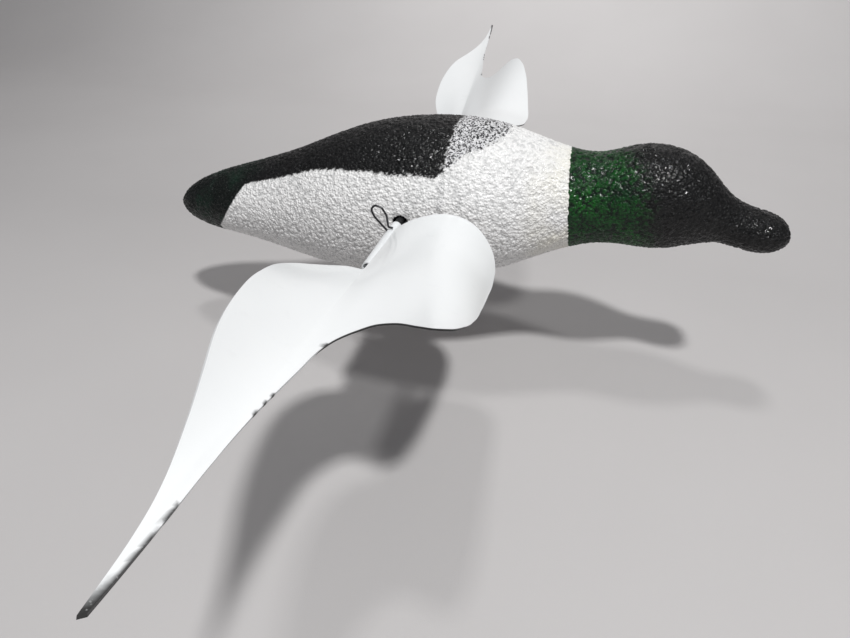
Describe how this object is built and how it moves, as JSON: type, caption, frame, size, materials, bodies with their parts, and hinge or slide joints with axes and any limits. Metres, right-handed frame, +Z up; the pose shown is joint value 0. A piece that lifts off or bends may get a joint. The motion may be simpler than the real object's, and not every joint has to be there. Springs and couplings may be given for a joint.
{
  "type": "motion wing decoy",
  "caption": "Duck decoy with a coated body on a pole socket and bent wings pinned to a motor-driven cross shaft that spins them; battery tray and switch in the belly.",
  "frame": {"origin": "centre of the pole socket's mouth, under the cross shaft", "axes": "+Z up along the pole, +X towards the bill, +Y along the cross shaft towards the bird's left wing (the far wing)"},
  "size_m": [0.5095, 0.8126, 0.1561],
  "materials": {
    "coated_foam": "coarse crumb coating, painted",
    "coated_head": "coarse crumb coating, painted",
    "wood_dowel": "plain",
    "black_plastic": "fine texture",
    "steel": "bright zinc",
    "cell_jacket": "satin",
    "brass": "plain",
    "chrome": "polished",
    "magnet": "matte",
    "carbon": "matte",
    "black_lead": "satin",
    "red_lead": "satin",
    "core_iron": "laminated",
    "copper": "enamelled",
    "white_paint": "glossy white paint on aluminium sheet",
    "dark_shaft": "black oxide",
    "spring_steel": "dark spring steel"
  },
  "bodies": {
    "decoy_body": {"body_upper": "coated_foam", "body_lower": "coated_foam", "head_neck": "coated_head", "neck_dowel": "wood_dowel", "pole_socket": "black_plastic", "socket_screws": "steel", "battery_tray": "black_plastic", "tray_screws": "steel", "dry_cells": "cell_jacket", "contact_springs": "steel", "contact_plates": "steel", "battery_terminals": "brass", "switch_plate": "steel", "switch_screws": "steel", "switch_body": "black_plastic", "switch_nut": "steel", "switch_tabs": "brass", "motor_can": "steel", "motor_cap_near": "steel", "motor_cap_far": "steel", "motor_bush_near": "brass", "motor_bush_far": "brass", "motor_magnets": "magnet", "motor_brushes": "carbon", "brush_holders": "brass", "motor_terminals": "brass", "motor_saddle": "black_plastic", "motor_strap": "steel", "saddle_screws": "steel", "strap_screws": "steel", "negative_lead": "black_lead", "positive_lead": "red_lead", "switched_lead": "red_lead"},
    "wing_rotor": {"wing_shaft": "dark_shaft", "armature_core": "core_iron", "armature_windings": "copper", "commutator": "copper", "near_sleeve": "white_paint", "far_sleeve": "white_paint", "near_blade": "white_paint", "far_blade": "white_paint"},
    "near_clip_body": {"near_clip": "spring_steel"},
    "far_clip_body": {"far_clip": "spring_steel"},
    "door_body": {"battery_door": "black_plastic"},
    "lever_body": {"switch_lever": "chrome"}
  },
  "joints": [
    {"name": "wing_spin", "type": "hinge", "parent": "decoy_body", "child": "wing_rotor", "pos_m": [0, 0, 0.068], "axis": [0, 1, 0], "continuous": true},
    {"name": "near_clip_pull", "type": "slide", "parent": "wing_rotor", "child": "near_clip_body", "axis": [-0.6947, 0, 0.7193], "range_m": [0, 0.016]},
    {"name": "far_clip_pull", "type": "slide", "parent": "wing_rotor", "child": "far_clip_body", "axis": [-0.9799, 0, 0.1994], "range_m": [0, 0.016]},
    {"name": "door_slide", "type": "slide", "parent": "decoy_body", "child": "door_body", "axis": [-1, 0, 0], "range_m": [0, 0.06]},
    {"name": "switch_toggle", "type": "hinge", "parent": "decoy_body", "child": "lever_body", "pos_m": [0.038, 0, 0.0095], "axis": [0, -1, 0], "range_deg": [0, 24]}
  ]
}
